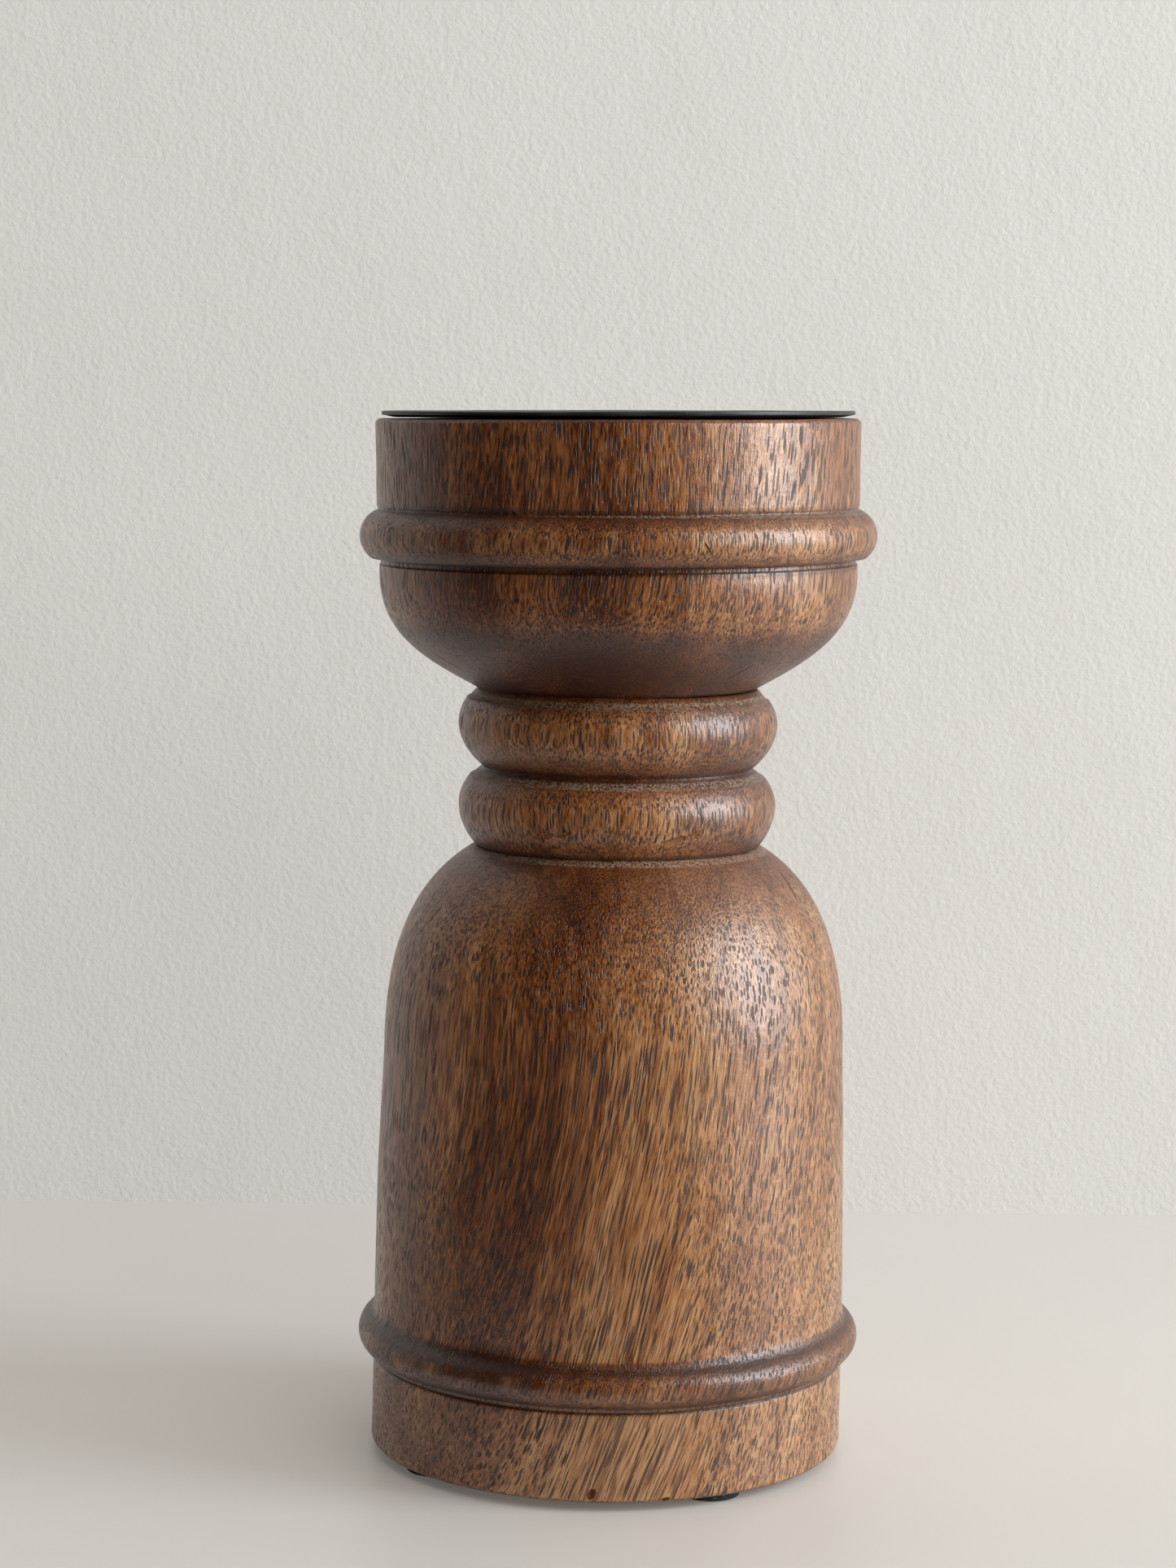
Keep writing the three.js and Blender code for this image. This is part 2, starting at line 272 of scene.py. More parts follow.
class Recipe:
    """A material under construction. Lengths in its patterns are in millimetres."""

    def __init__(self, name):
        self.material = bpy.data.materials.new(name)
        self.material.use_nodes = True
        self.tree = self.material.node_tree
        self.tree.nodes.clear()

    def node(self, kind, settings=None, inputs=None):
        node = self.tree.nodes.new(kind)
        for key, setting in (settings or {}).items():
            if key == "stops":
                self.set_stops(node.color_ramp, setting)
            else:
                setattr(node, key, setting)
        for key, entry in (inputs or {}).items():
            if isinstance(entry, Value):
                self.tree.links.new(entry.socket, node.inputs[key])
            else:
                node.inputs[key].default_value = entry
        return node

    @staticmethod
    def set_stops(ramp, stops):
        while len(ramp.elements) < len(stops):
            ramp.elements.new(1.0)
        for element, (place, shade) in zip(ramp.elements, stops):
            element.position = place
            element.color = (*shade, 1.0)

    def value(self, node, output=0):
        return Value(self, node.outputs[output])

    def vector(self, operation, *terms):
        node = self.node("ShaderNodeVectorMath", {"operation": operation}, dict(enumerate(terms)))
        return self.value(node)

    def place(self):
        """Object coordinates in millimetres."""
        coordinates = self.value(self.node("ShaderNodeTexCoord"), "Object")
        return self.vector("MULTIPLY", coordinates, (1 / MM, 1 / MM, 1 / MM))

    def parts(self, vector):
        node = self.node("ShaderNodeSeparateXYZ", inputs={0: vector})
        return [self.value(node, i) for i in range(3)]

    def joined(self, x, y, z):
        return self.value(self.node("ShaderNodeCombineXYZ", inputs={0: x, 1: y, 2: z}))

    def noise(self, place, cell, detail=2.0, roughness=0.5, output="Fac"):
        """Soft noise with blotches of about the given size in millimetres, as (x, y, z)."""
        scaled = self.vector("DIVIDE", place, cell)
        node = self.node("ShaderNodeTexNoise", {"noise_dimensions": "3D"}, {
            "Vector": scaled, "Scale": 1.0, "Detail": detail, "Roughness": roughness,
        })
        return self.value(node, output)

    def cells(self, place, cell):
        """Distance to the nearest of a scatter of points, and a random number for that point."""
        scaled = self.vector("DIVIDE", place, cell)
        node = self.node("ShaderNodeTexVoronoi", {"feature": "F1"}, {"Vector": scaled, "Scale": 1.0})
        luck = self.node("ShaderNodeSeparateColor", inputs={0: self.value(node, "Color")})
        return self.value(node, "Distance"), self.value(luck, 0)

    def ramp(self, factor, stops):
        return self.value(self.node("ShaderNodeValToRGB", {"stops": stops}, {"Fac": factor}))

    def mix(self, first, second, factor, blend="MIX"):
        """Colours mixed by a factor from 0 to 1. A plain colour is (red, green, blue)."""
        node = self.node("ShaderNodeMix", {"data_type": "RGBA", "blend_type": blend}, {
            0: factor, 6: self.opaque(first), 7: self.opaque(second),
        })
        return self.value(node, 2)

    @staticmethod
    def opaque(shade):
        return shade if isinstance(shade, Value) else (*shade, 1.0)

    def bump(self, height):
        """A normal from a height in millimetres."""
        return self.value(self.node("ShaderNodeBump", inputs={"Height": height, "Distance": MM}))

    def finish(self, **inputs):
        """The finished material. Each input is a socket's name in small letters, with underscores."""
        sockets = {}
        for key, entry in inputs.items():
            sockets[key.replace("_", " ").title().replace("Ior", "IOR")] = entry
        shader = self.value(self.node("ShaderNodeBsdfPrincipled", inputs=sockets))
        self.node("ShaderNodeOutputMaterial", inputs={"Surface": shader})
        return self.material


# ---- Materials ----------------------------------------------------------------------------


def total(values):
    first, *others = values
    return sum(others, first)


def stained_wood(name, finish, heart, lean, lean_height, pore_length, grooves, crests, ledges, tones, shift):
    """Stained open-pored hardwood, as one solid blank that the section is cut from.

    heart is where the dark heart of the tree comes nearest, lean is how fast the grain slopes
    below lean_height, and pore_length is the length of a pore. grooves, crests and ledges are
    heights in millimetres where the wood is darker in its grooves, where it is rubbed thin, and
    where pale wax and dust lie. tones are (low, high, amount) bands where all the wood is lighter
    or darker.
    """
    recipe = Recipe(name)
    place = recipe.place()
    across, deep, up = recipe.parts(place)
    facing = recipe.value(recipe.node("ShaderNodeNewGeometry"), "Normal")
    _, _, facing_up = recipe.parts(facing)
    end_grain = abs(facing_up).rise(0.30, 0.85)

    # The blank: its grain wanders and leans.
    wander_reach = 11
    wander = recipe.noise(place, (45, 45, 80), detail=1.0, output="Color")
    wander_across, wander_deep, _ = recipe.parts(wander)
    below = (lean_height - up).above(0)
    slope = below * below * (lean / 2)
    blank = recipe.joined(
        across + slope + (wander_across - 0.5) * wander_reach,
        deep + (wander_deep - 0.5) * wander_reach,
        up + shift,
    )
    blank = recipe.value(recipe.node("ShaderNodeMapping", inputs={
        "Vector": blank, "Rotation": (math.radians(1.5), math.radians(-2.0), 0.0),
    }))

    # Figure: broad zones, streaks and growth rings round the heart of the tree.
    ring_spacing = 11.5
    heart_edge, heart_middle = 48, 16
    zones = recipe.noise(blank, (22, 22, 110), detail=2.0)
    streaks = recipe.noise(blank, (2.4, 2.4, 34), detail=3.0, roughness=0.6)
    fibres = recipe.noise(blank, (0.36, 0.36, pore_length), detail=3.0, roughness=0.6)
    blank_x, blank_y, _ = recipe.parts(blank)
    from_heart = ((blank_x - heart[0]) ** 2 + (blank_y - heart[1]) ** 2) ** 0.5
    rings = from_heart / ring_spacing + zones * 1.3
    ring = recipe.value(recipe.node("ShaderNodeMath", {"operation": "FRACT"}, {0: rings}))
    ring_line = ring.rise(0.80, 0.96) * ring.rise(1.0, 0.965)
    heartwood = (from_heart + zones * 14).rise(heart_edge, heart_middle)

    # Pores: long thin tubes along the grain, cut open by the surface.
    crowding = recipe.noise(blank, (7, 7, 40), detail=1.0).rise(0.30, 0.62)
    layers = []
    for spacing, long, small, spread, offset in PORE_LAYERS:
        moved = recipe.vector("ADD", blank, (offset, offset, offset))
        near, luck = recipe.cells(moved, (spacing, spacing, pore_length * long))
        layers.append((near / (small + spread * luck)).rise(0.96, 0.76))
    open_pores = layers[0].above(layers[1]).above(layers[2])
    open_pores = open_pores * (0.70 + 0.30 * crowding) * (1.0 - 0.45 * end_grain)

    # Colour.
    tone = total([up.band(low, high, 3.0) * amount for low, high, amount in tones])
    figure = zones * 0.62 + streaks * 0.42 + fibres * 0.86 - heartwood * 0.13 + tone - 0.37
    shade = recipe.ramp(figure, [
        (0.30, finish.dark_wood),
        (0.48, finish.brown_wood),
        (0.62, finish.tan_wood),
        (0.80, finish.gold_wood),
    ])
    shade = recipe.mix(shade, finish.dark_wood, ring_line * 0.40)
    shade = recipe.mix(shade, END_GRAIN_STAIN, end_grain * 0.85, "MULTIPLY")
    wear = recipe.noise(place, (5, 5, 5), detail=3.0)
    crest = total([up.band(low, high, 1.2) for low, high in crests])
    shade = recipe.mix(shade, finish.gold_wood, crest * wear.rise(0.42, 0.75) * 0.35)
    groove = total([up.band(low, high, 0.6) for low, high in grooves])
    shade = recipe.mix(shade, finish.pore, groove * (0.30 + 0.5 * wear))
    shade = recipe.mix(shade, finish.pore, fibres.rise(0.46, 0.38) * 0.60)
    shade = recipe.mix(shade, finish.pore, open_pores * 0.92)
    specks = recipe.noise(place, (0.45, 0.45, 0.45), detail=2.0)
    ledge = total([up.band(low, high, 0.4) for low, high in ledges])
    dust = ledge * facing_up.rise(0.25, 0.6) * specks.rise(0.40, 0.62)
    shade = recipe.mix(shade, finish.dust, dust * 0.5)

    # Gloss and relief.
    polish = recipe.noise(place, (9, 9, 14), detail=2.0)
    roughness = 0.20 + 0.12 * polish + 0.32 * open_pores + 0.12 * end_grain + 0.25 * dust
    skin = recipe.noise(place, (1.3, 1.3, 0.9), detail=3.0, roughness=0.6)
    depth = 0.085 - 0.045 * end_grain
    height = fibres * 0.12 + streaks * 0.12 + skin * 0.085 - open_pores * depth
    return recipe.finish(base_color=shade, roughness=roughness, ior=1.5, specular_ior_level=0.95,
                         normal=recipe.bump(height))


def torn_wood(finish):
    """Raw broken wood in checks, nicks and tear-outs, dark with old stain."""
    made = bpy.data.materials.get("torn_wood")
    if made:
        return made
    recipe = Recipe("torn_wood")
    place = recipe.place()
    fibres = recipe.noise(place, (0.3, 0.3, 3), detail=3.0)
    shade = recipe.ramp(fibres, [(0.35, finish.dark_wood), (0.7, finish.tan_wood)])
    return recipe.finish(base_color=shade, roughness=0.65 + 0.2 * fibres,
                         normal=recipe.bump(fibres * 0.1))


def plate_paint(name, finish):
    """Satin black paint on sheet steel, with fine orange peel, rubbed rings and dust."""
    recipe = Recipe(name)
    place = recipe.place()
    peel = recipe.noise(place, (0.5, 0.5, 0.5), detail=2.0)
    rubs = recipe.noise(place, (14, 3, 14), detail=4.0)
    specks = recipe.noise(place, (0.6, 0.6, 0.6), detail=1.0).rise(0.70, 0.78)
    shade = recipe.mix(finish.plate, (0.052, 0.050, 0.049), rubs.rise(0.45, 0.7) * 0.6)
    shade = recipe.mix(shade, finish.dust, specks * 0.35)
    return recipe.finish(base_color=shade, roughness=0.32 + 0.20 * rubs + 0.3 * specks,
                         normal=recipe.bump(peel * 0.012))


def foam_rubber(name, finish):
    """Matt black foam with pale flecks and open cells."""
    recipe = Recipe(name)
    place = recipe.place()
    near, luck = recipe.cells(place, (0.45, 0.45, 0.45))
    fleck = near.rise(0.34, 0.22) * luck.rise(0.72, 0.76)
    shade = recipe.mix(finish.pad, (0.22, 0.22, 0.21), fleck)
    return recipe.finish(base_color=shade, roughness=0.85 - 0.2 * fleck,
                         normal=recipe.bump(near * 0.12))


def zinc_plate(name):
    """Bright zinc on a steel screw, with faint turning marks and a yellow tinge."""
    recipe = Recipe(name)
    place = recipe.place()
    blotch = recipe.noise(place, (1.6, 1.6, 1.6), detail=3.0)
    marks = recipe.noise(place, (2.5, 2.5, 0.08), detail=1.0)
    shade = recipe.ramp(blotch, [(0.3, (0.42, 0.39, 0.32)), (0.7, (0.66, 0.65, 0.61))])
    return recipe.finish(base_color=shade, metallic=1.0, roughness=0.24 + 0.25 * blotch,
                         normal=recipe.bump(marks * 0.01))


def plain_dowel(name):
    """Unfinished pale hardwood with straight fine grain and smears of dried glue."""
    recipe = Recipe(name)
    place = recipe.place()
    grain = recipe.noise(place, (0.5, 0.5, 16), detail=3.0)
    bands = recipe.noise(place, (2.2, 2.2, 60), detail=1.0)
    glue = recipe.noise(place, (6, 6, 9), detail=3.0).rise(0.56, 0.66)
    shade = recipe.ramp(grain * 0.5 + bands * 0.5, [
        (0.35, (0.42, 0.27, 0.14)),
        (0.65, (0.66, 0.48, 0.29)),
    ])
    shade = recipe.mix(shade, (0.62, 0.52, 0.34), glue * 0.5)
    return recipe.finish(base_color=shade, roughness=0.72 - 0.35 * glue,
                         normal=recipe.bump(grain * 0.05 + glue * 0.06))


# ---- Modelling ----------------------------------------------------------------------------


class Outline:
    """Radius and height points of a turned piece, drawn in order round its half section."""

    def __init__(self, radius, height):
        self.points = [(radius, height)]

    def corner(self, radius, height):
        """A straight run with nothing between its ends."""
        self.points.append((radius, height))

    def follow(self, curve, distance):
        """Points along a curve, given as a function from 0 to 1, at the outline's spacing."""
        count = max(2, round(distance / OUTLINE_STEP))
        for i in range(1, count + 1):
            self.points.append(curve(i / count))

    def line(self, radius, height):
        """A straight run with a turner's faint ripple."""
        old_radius, old_height = self.points[-1]
        distance = math.hypot(radius - old_radius, height - old_height)

        def along(t):
            at = old_height + (height - old_height) * t
            ripple = 0.035 * MM * math.sin(at / (1.7 * MM)) * math.sin(math.pi * t)
            return old_radius + (radius - old_radius) * t + ripple, at

        self.follow(along, distance)

    def bead(self, low, high, crown_height, crown_radius, arc):
        """A round bead between two heights. arc is the radius of its roundness."""
        start = math.asin((low - crown_height) / arc)
        end = math.asin((high - crown_height) / arc)

        def along(t):
            angle = start + (end - start) * t
            return crown_radius - arc + arc * math.cos(angle), crown_height + arc * math.sin(angle)

        self.points.append(along(0))
        self.follow(along, arc * (end - start))

    def sweep(self, first, second, end):
        """A curve that leaves towards first and arrives from second."""
        corners = [Vector(p) for p in (self.points[-1], first, second, end)]
        distance = (corners[1] - corners[0]).length + (corners[3] - corners[1]).length

        def along(t):
            s = 1 - t
            point = (s ** 3 * corners[0] + 3 * s * s * t * corners[1] + 3 * s * t * t * corners[2]
                     + t ** 3 * corners[3])
            return tuple(point)

        self.follow(along, distance)

    def swell(self, radius, height):
        """The rising half of a ring, up to its crown."""
        old_radius, old_height = self.points[-1]
        rise = height - old_height
        self.sweep((old_radius + 0.5 * (radius - old_radius), old_height + 0.22 * rise),
                   (radius, height - 0.42 * rise), (radius, height))

    def fall(self, radius, height):
        """The falling half of a ring, from its crown."""
        old_radius, old_height = self.points[-1]
        rise = height - old_height
        self.sweep((old_radius, old_height + 0.42 * rise),
                   (radius + 0.5 * (old_radius - radius), height - 0.25 * rise), (radius, height))

    def radius_at(self, height):
        """The outermost radius at a height."""
        found = 0.0
        for (r0, h0), (r1, h1) in zip(self.points, self.points[1:]):
            if min(h0, h1) <= height <= max(h0, h1) and h0 != h1:
                found = max(found, r0 + (r1 - r0) * (height - h0) / (h1 - h0))
        return found


def start_mesh(name):
    """A new mesh object at the origin, in edit mode, that holds one vertex at the origin."""
    bpy.ops.object.select_all(action="DESELECT")
    bpy.ops.mesh.primitive_plane_add(size=MM, location=(0, 0, 0))
    piece = bpy.context.object
    piece.name = name
    piece.data.name = name
    bpy.ops.object.mode_set(mode="EDIT")
    bpy.ops.mesh.merge(type="CENTER")
    return piece


def spin(name, points, steps=AROUND):
    """Turns an outline about the upright axis into a closed solid."""
    piece = start_mesh(name)
    old_radius, old_height = points[0]
    bpy.ops.transform.translate(value=(old_radius, 0, old_height))
    for radius, height in points[1:]:
        move = (radius - old_radius, 0, height - old_height)
        bpy.ops.mesh.extrude_vertices_move(TRANSFORM_OT_translate={"value": move})
        old_radius, old_height = radius, height
    bpy.ops.mesh.select_all(action="SELECT")
    bpy.ops.mesh.spin(steps=steps, angle=2 * math.pi, center=(0, 0, 0), axis=(0, 0, 1))
    bpy.ops.mesh.select_all(action="SELECT")
    bpy.ops.mesh.remove_doubles(threshold=0.01 * MM)
    bpy.ops.mesh.normals_make_consistent(inside=False)
    bpy.ops.object.mode_set(mode="OBJECT")
    return piece


def choose(piece):
    bpy.ops.object.select_all(action="DESELECT")
    piece.select_set(True)
    bpy.context.view_layer.objects.active = piece


def apply_modifier(piece, kind, **settings):
    choose(piece)
    modifier = piece.modifiers.new(kind.title(), kind)
    for key, setting in settings.items():
        setattr(modifier, key, setting)
    bpy.ops.object.modifier_apply(modifier=modifier.name)


def waver(piece, size, reach=WAVER_REACH):
    """Moves the surface in and out by slow soft noise, as hand turning leaves it."""
    texture = bpy.data.textures.new(piece.name + "_waver", "CLOUDS")
    texture.noise_scale = size
    texture.noise_depth = 1
    apply_modifier(piece, "DISPLACE", texture=texture, strength=reach, mid_level=0.5,
                   texture_coords="LOCAL")


def ease_corners(piece, width):
    apply_modifier(piece, "BEVEL", width=width, segments=2, limit_method="ANGLE",
                   angle_limit=math.radians(CORNER_ANGLE), harden_normals=False)


def shade(piece, material):
    piece.data.materials.clear()
    piece.data.materials.append(material)
    choose(piece)
    bpy.ops.object.shade_smooth_by_angle(angle=math.radians(SMOOTH_ANGLE))


def surface_place(radius, azimuth, height):
    """A point at a radius and height. Azimuth is in degrees to the right of the front."""
    angle = math.radians(azimuth)
    return Vector((radius * math.sin(angle), -radius * math.cos(angle), height))


def cut_nicks(piece, outline, nicks, material):
    """Cuts each nick with an uneven ellipsoid, laid flat on the surface at its place."""
    step = 0.5 * MM
    for number, (azimuth, up, long, wide, deep, slant) in enumerate(nicks):
        bpy.ops.object.select_all(action="DESELECT")
        bpy.ops.mesh.primitive_uv_sphere_add(segments=20, ring_count=12, radius=1.0,
                                             location=(0, 0, 0))
        cutter = bpy.context.object
        height = up * MM
        fall = outline.radius_at(height - step) - outline.radius_at(height + step)
        turn = (Matrix.Translation(surface_place(outline.radius_at(height), azimuth, height))
                @ Matrix.Rotation(math.radians(azimuth), 4, "Z")
                @ Matrix.Rotation(-math.atan2(fall, 2 * step), 4, "X")
                @ Matrix.Rotation(-math.radians(slant), 4, "Y"))
        size = Matrix.Diagonal((long / 2 * MM, deep * MM, wide / 2 * MM, 1.0))
        cutter.data.transform(turn @ size)
        waver(cutter, (0.9 + 0.13 * number) * MM, min(wide, deep) * 0.25 * MM)
        cutter.data.materials.append(material)
        apply_modifier(piece, "BOOLEAN", operation="DIFFERENCE", object=cutter, solver="EXACT",
                       material_mode="TRANSFER")
        bpy.data.objects.remove(cutter)


def lean_over(piece, degrees, height, aside=0.0, flat=False):
    """Leans a finished mesh to the right about a point of the axis, and moves it aside.

    A flat lean keeps every height as it is, so that a foot still stands flat.
    """
    foot = Vector((0, 0, height))
    turn = Matrix.Rotation(math.radians(degrees), 4, "Y")
    if flat:
        turn[2] = (0, 0, 1, 0)
    moved = foot + Vector((aside, 0, 0))
    piece.data.transform(Matrix.Translation(moved) @ turn @ Matrix.Translation(-foot))


def settle(piece, slot, *nodes):
    """Ties a finished piece to the frame."""
    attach(piece, "root")
    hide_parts(*nodes)


# ---- Operators ----------------------------------------------------------------------------


class CANDLESTICK_OT_base(bpy.types.Operator):
    """Turn the base: plinth, bead, long body and rounded shoulder"""

    bl_idname = "candlestick.base"
    bl_label = "Base"

    def execute(self, context):
        shape = context.scene.candlestick_shape
        finish = context.scene.candlestick_finish
        bottom = base_low.z
        hollow = 0.25 * MM

        # The slightly hollow underside, and the plinth with its eased foot.
        outline = Outline(0, bottom + hollow)
        outline.follow(lambda t: (shape.plinth_radius * 0.975 * t, bottom + hollow * (1 - t)),
                       12 * OUTLINE_STEP)
        outline.corner(shape.plinth_radius - 0.5 * MM, bottom)
        outline.corner(shape.plinth_radius, bottom + 0.6 * MM)
        outline.line(shape.plinth_radius - 0.1 * MM, shape.plinth_top - 1.6 * MM)

        # The fine groove under the bead, and the bead.
        outline.corner(shape.plinth_radius - 0.5 * MM, shape.plinth_top - 1.3 * MM)
        outline.corner(shape.plinth_radius + 0.1 * MM, shape.plinth_top - 0.9 * MM)
        outline.corner(shape.plinth_radius + 0.2 * MM, shape.plinth_top - 0.3 * MM)
        outline.bead(shape.plinth_top, shape.base_bead_top, shape.base_bead_height,
                     shape.base_bead_radius, 4.0 * MM)

        # The cove above the bead, the long body and the shoulder.
        outline.sweep((50.7 * MM, 29.7 * MM), (shape.body_low_radius + 0.1 * MM, 30.2 * MM),
                      (shape.body_low_radius, 32.5 * MM))
        outline.sweep((shape.body_low_radius - 0.1 * MM, 52 * MM),
                      (shape.body_high_radius + 0.75 * MM, 70 * MM),
                      (shape.body_high_radius, shape.shoulder_start))
        outline.sweep((shape.body_high_radius, shape.shoulder_start + 23 * MM), (42.8 * MM, 123 * MM),
                      (shape.lower_groove, LOWER_JOINT))

        # The joint's face and the dowel's bore.
        outline.corner(BORE_RADIUS, LOWER_JOINT)
        outline.corner(BORE_RADIUS, dowel_low.z)
        outline.corner(0, dowel_low.z)
        piece = spin("base_wood", outline.points)
        ease_corners(piece, 0.18 * MM)
        waver(piece, 34 * MM)
        shade(piece, stained_wood(
            "base_stained_wood", finish,
            heart=(-30, -42), lean=0.0042, lean_height=104, pore_length=7.5, shift=0,
            grooves=[(29.1, 30.7), (20.5, 21.7)], crests=[(24.0, 27.0), (2.0, 2.9)],
            ledges=[(129.4, 130.6)],
            # The plinth's lighter band is partly its paler wood and partly painted light, standing in for
            # light thrown up by the table.
            tones=[(0, 21, 0.05), (23, 29, -0.19), (112, 131, -0.01)],
        ))
        cut_nicks(piece, outline, BASE_NICKS, torn_wood(finish))
        lean_over(piece, BASE_LEAN, base_low.z, flat=True)
        settle(piece, "stained_wood", "base_section")
        return {"FINISHED"}


class CANDLESTICK_OT_neck(bpy.types.Operator):
    """Turn the neck: two rounded rings on a bored blank"""

    bl_idname = "candlestick.neck"
    bl_label = "Neck"

    def execute(self, context):
        shape = context.scene.candlestick_shape
        finish = context.scene.candlestick_finish
        outline = Outline(BORE_RADIUS, UPPER_JOINT)
        outline.corner(BORE_RADIUS, LOWER_JOINT)
        outline.corner(shape.lower_groove, LOWER_JOINT)
        shelf_width, shelf_rise = 0.7 * MM, 0.3 * MM
        for crown, shelf, groove in (
            ((shape.lower_ring, 139.0 * MM), (31.2 * MM, 144.9 * MM),
             (shape.ring_groove, shape.ring_groove_height)),
            ((shape.upper_ring, 156.0 * MM), (31.9 * MM, 161.3 * MM),
             (shape.upper_groove, UPPER_JOINT)),
        ):
            outline.swell(*crown)
            outline.fall(*shelf)
            outline.corner(shelf[0] - shelf_width, shelf[1] + shelf_rise)
            outline.line(*groove)
        outline.corner(BORE_RADIUS, UPPER_JOINT)
        piece = spin("neck_wood", outline.points)
        ease_corners(piece, 0.15 * MM)
        waver(piece, 16 * MM)
        shade(piece, stained_wood(
            "neck_stained_wood", finish,
            heart=(-46, 10), lean=0.0, lean_height=0, pore_length=4.0, shift=31,
            grooves=[(145.6, 147.6), (130, 131)], crests=[(136, 141), (154, 158)],
            ledges=[(145.0, 145.9), (161.4, 162.4)],
            tones=[(130, 164, -0.08)],
        ))
        cut_nicks(piece, outline, NECK_NICKS, torn_wood(finish))
        lean_over(piece, 0.0, neck_low.z, aside=NECK_ASIDE)
        settle(piece, "stained_wood", "neck_section")
        return {"FINISHED"}


class CANDLESTICK_OT_cup(bpy.types.Operator):
    """Turn the cup: bowl, bead and upright rim"""

    bl_idname = "candlestick.cup"
    bl_label = "Cup"

    def execute(self, context):
        shape = context.scene.candlestick_shape
        finish = context.scene.candlestick_finish
        bore_top = dowel_high.z

        # The dowel's bore and the joint's face, then the bowl.
        outline = Outline(0, bore_top)
        outline.corner(BORE_RADIUS, bore_top)
        outline.corner(BORE_RADIUS, UPPER_JOINT)
        outline.corner(shape.upper_groove, UPPER_JOINT)
        outline.sweep((41.0 * MM, 170.0 * MM), (shape.bowl_radius, 175.2 * MM),
                      (shape.bowl_radius, 188.0 * MM))
        outline.line(shape.bowl_radius, shape.cup_bead_low - 1.5 * MM)

        # The fine groove under the bead, the bead and the upright wall.
        outline.corner(shape.bowl_radius - 0.3 * MM, shape.cup_bead_low - 1.2 * MM)
        outline.corner(shape.bowl_radius - 0.4 * MM, shape.cup_bead_low - 0.4 * MM)
        outline.bead(shape.cup_bead_low, shape.cup_bead_top, shape.cup_bead_height,
                     shape.cup_bead_radius, 5.8 * MM)
        outline.line(shape.rim_radius - 0.15 * MM, shape.cup_bead_top + 0.8 * MM)
        outline.line(shape.rim_radius, cup_high.z - 0.7 * MM)
        outline.corner(shape.rim_radius - 0.7 * MM, cup_high.z)

        # The countersunk pilot hole for the screw.
        outline.corner(SCREW_RADIUS, cup_high.z)
        outline.corner(SCREW_RADIUS * 0.5, cup_high.z - 2.6 * MM)
        outline.corner(SCREW_RADIUS * 0.5, screw_low.z)
        outline.corner(0, screw_low.z)
        piece = spin("cup_wood", outline.points)
        ease_corners(piece, 0.18 * MM)
        waver(piece, 30 * MM)
        shade(piece, stained_wood(
            "cup_stained_wood", finish,
            heart=(-34, -46), lean=0.0, lean_height=0, pore_length=4.0, shift=77,
            grooves=[(189.6, 191.0), (201.0, 202.0)], crests=[(194, 198)],
            ledges=[(201.1, 202.2)],
            tones=[(163, 176, -0.15), (176, 221, -0.03)],
        ))
        cut_nicks(piece, outline, CUP_NICKS, torn_wood(finish))
        lean_over(piece, CUP_LEAN, cup_low.z, aside=CUP_ASIDE)
        settle(piece, "stained_wood", "cup_section")
        return {"FINISHED"}


class CANDLESTICK_OT_plate(bpy.types.Operator):
    """Form the candle plate with its turned-up rim and countersunk hole"""

    bl_idname = "candlestick.plate"
    bl_label = "Candle Plate"

    def execute(self, context):
        shape = context.scene.candlestick_shape
        edge = shape.plate_radius
        bottom, edge_bottom = plate_low.z, plate_high.z - shape.plate_sheet
        top, edge_top = plate_low.z + shape.plate_sheet, plate_high.z
        rim = edge - 3 * MM  # where the rim starts to turn up
        turn_start, turn_end = rim + MM, rim + 2 * MM
        hole_bottom, hole_top = SCREW_RADIUS * 0.8, SCREW_RADIUS + 0.3 * MM
        outline = Outline(hole_bottom, bottom)
        outline.corner(rim * 0.5, bottom)
        outline.corner(rim, bottom)
        outline.sweep((turn_start, bottom), (turn_end, edge_bottom), (edge, edge_bottom))
        outline.corner(edge, edge_top)
        outline.sweep((turn_end, edge_top), (turn_start, top), (rim, top))
        outline.corner(rim * 0.5, top)
        outline.corner(hole_top, top)
        outline.corner(hole_bottom, bottom)
        piece = spin("plate_disc", outline.points, steps=192)
        ease_corners(piece, 0.2 * MM)
        waver(piece, 40 * MM, 0.25 * MM)
        shade(piece, plate_paint("plate_paint", context.scene.candlestick_finish))
        lean_over(piece, CUP_LEAN, cup_low.z, aside=CUP_ASIDE)
        settle(piece, "black_metal", "candle_plate")
        return {"FINISHED"}


class CANDLESTICK_OT_fixings(bpy.types.Operator):
    """Finish the hidden dowel and the plate's screw"""

    bl_idname = "candlestick.fixings"
    bl_label = "Dowel and Screw"

    def execute(self, context):
        for node, material in (("centre_dowel", plain_dowel("dowel_wood")),
                               ("plate_screw", zinc_plate("screw_zinc"))):
            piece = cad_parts[node]
            piece.data.materials.clear()
            piece.data.materials.append(material)
        return {"FINISHED"}


